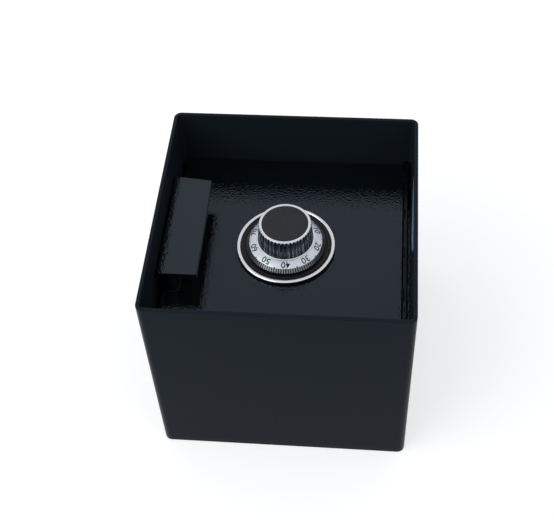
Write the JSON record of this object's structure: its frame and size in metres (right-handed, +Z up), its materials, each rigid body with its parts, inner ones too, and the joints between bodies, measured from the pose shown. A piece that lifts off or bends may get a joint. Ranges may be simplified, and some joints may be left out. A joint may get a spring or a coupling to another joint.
{
  "type": "medication safe",
  "caption": "Small top-opening square steel safe with a sunk hinged door, a bar handle and a dial combination lock; floor plate with anchor holes.",
  "frame": {"origin": "middle of the underside of the body", "axes": "+Z up through the open top, +X to the hinge side, +Y to the rear; the handle is on the -X side"},
  "size_m": [0.229, 0.233, 0.21],
  "materials": {
    "black_paint": "gloss black powder coat with orange peel",
    "chrome": "bright plating",
    "dial_satin": "satin silver number band, dark tick band",
    "dark_plastic": "fine satin black",
    "plain_steel": "zinc-plated or plain ground steel",
    "zinc_casting": "die-cast, matt",
    "brass": "turned, satin",
    "rubber": "matt, fine grain"
  },
  "bodies": {
    "safe_body": {"body_shell": "black_paint", "floor_plate": "black_paint", "floor_mat": "rubber", "seat_bar_latch": "black_paint", "seat_bar_hinge": "black_paint", "seat_bar_front": "black_paint", "seat_bar_rear": "black_paint", "door_seal": "rubber", "hinge_bracket_front": "black_paint", "hinge_bracket_rear": "black_paint"},
    "door": {"door_plate": "black_paint", "hinge_rod": "black_paint", "hinge_welds": "black_paint", "handle_bar": "black_paint", "handle_post_front": "black_paint", "handle_post_rear": "black_paint", "handle_welds": "black_paint", "dial_ring": "dark_plastic", "ring_bezel": "chrome", "ring_screws": "plain_steel", "spindle_tube": "brass", "hard_plate": "plain_steel", "lock_case": "zinc_casting", "lock_cover": "zinc_casting", "lock_screws": "plain_steel", "wheel_post": "brass", "wheel_spacers": "plain_steel", "post_clip": "plain_steel", "bolt_guide_front": "plain_steel", "bolt_guide_rear": "plain_steel", "cover_standoffs": "plain_steel", "inner_cover": "black_paint", "cover_screws": "plain_steel"},
    "dial_works": {"dial": "dial_satin", "dial_knob": "chrome", "knob_insert": "dark_plastic", "spindle": "plain_steel", "spline_key": "plain_steel", "drive_cam": "brass"},
    "wheel_1_body": {"wheel_1": "brass", "fly_1": "plain_steel"},
    "wheel_2_body": {"wheel_2": "brass", "fly_2": "plain_steel"},
    "wheel_3_body": {"wheel_3": "brass", "fly_3": "plain_steel"},
    "bolt_work": {"lock_bolt": "brass", "tie_bar": "plain_steel", "tie_screws": "plain_steel", "locking_bolt_front": "chrome", "locking_bolt_rear": "chrome", "lever_screw": "plain_steel", "lever_spring": "plain_steel"},
    "lever_body": {"lever": "zinc_casting"}
  },
  "joints": [
    {"name": "door_hinge", "type": "hinge", "parent": "safe_body", "child": "door", "pos_m": [0.1064, 0, 0.1534], "axis": [0, 1, 0], "range_deg": [0, 91.5]},
    {"name": "dial_spin", "type": "hinge", "parent": "door", "child": "dial_works", "pos_m": [-0.0016, 0.0015, 0.156], "axis": [0, 0, 1], "continuous": true},
    {"name": "wheel_1_spin", "type": "hinge", "parent": "door", "child": "wheel_1_body", "pos_m": [-0.0016, 0.0015, 0.156], "axis": [0, 0, 1], "continuous": true},
    {"name": "wheel_2_spin", "type": "hinge", "parent": "door", "child": "wheel_2_body", "pos_m": [-0.0016, 0.0015, 0.156], "axis": [0, 0, 1], "continuous": true},
    {"name": "wheel_3_spin", "type": "hinge", "parent": "door", "child": "wheel_3_body", "pos_m": [-0.0016, 0.0015, 0.156], "axis": [0, 0, 1], "continuous": true},
    {"name": "bolt_slide", "type": "slide", "parent": "door", "child": "bolt_work", "axis": [-1, 0, 0], "range_m": [0, 0.0095]},
    {"name": "lever_drop", "type": "hinge", "parent": "bolt_work", "child": "lever_body", "pos_m": [-0.0296, 0.0175, 0.156], "axis": [0, 0, 1], "range_deg": [-1.6, 0]}
  ]
}
